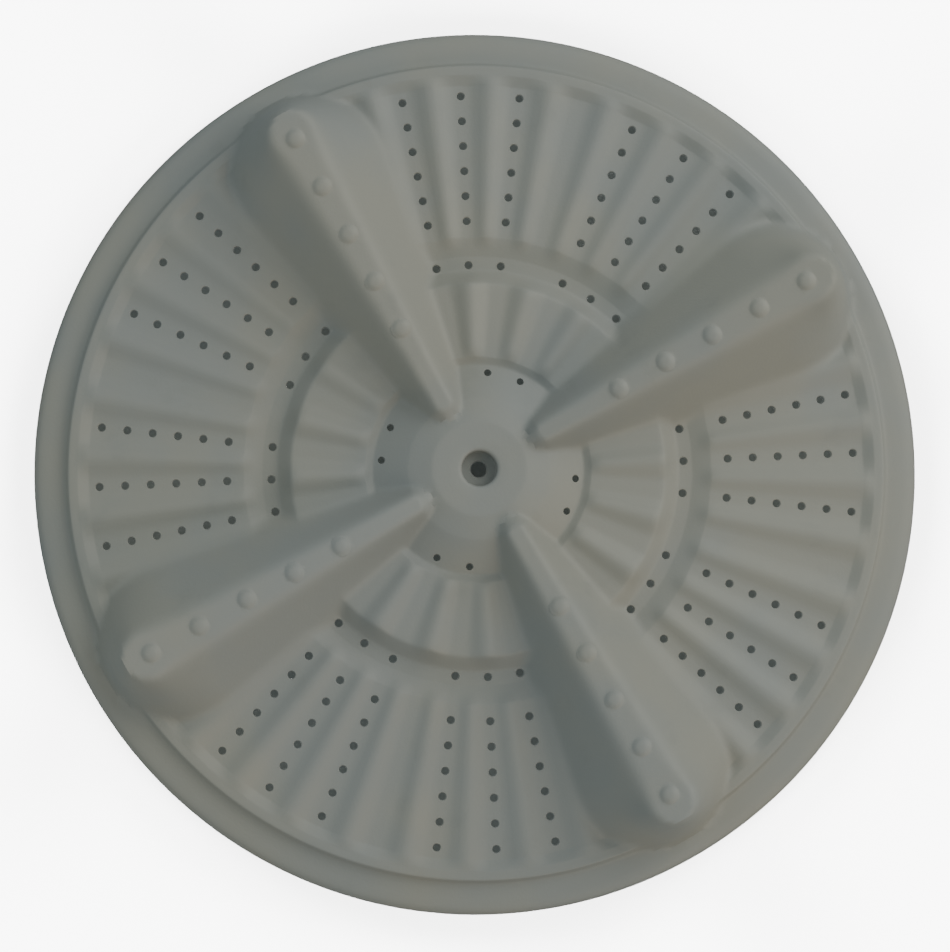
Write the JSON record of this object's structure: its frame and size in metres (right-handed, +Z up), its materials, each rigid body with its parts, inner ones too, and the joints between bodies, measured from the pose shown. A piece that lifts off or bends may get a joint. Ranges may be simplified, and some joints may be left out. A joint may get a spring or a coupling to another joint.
{
  "type": "washing machine pulsator",
  "caption": "Round moulded pulsator disc with radial flutes, drain holes, hollow teardrop vanes, a screw seat in its hub and a serrated shaft socket underneath.",
  "frame": {"origin": "on the disc's axis, at the lower edge of its skirt", "axes": "+Z up along the disc's axis, towards the vanes; +X and +Y each along a vane"},
  "size_m": [0.34, 0.34, 0.048],
  "materials": {
    "moulded_plastic": "semi-matte off-white moulding"
  },
  "bodies": {
    "root": {"pulsator": "moulded_plastic"}
  },
  "joints": []
}
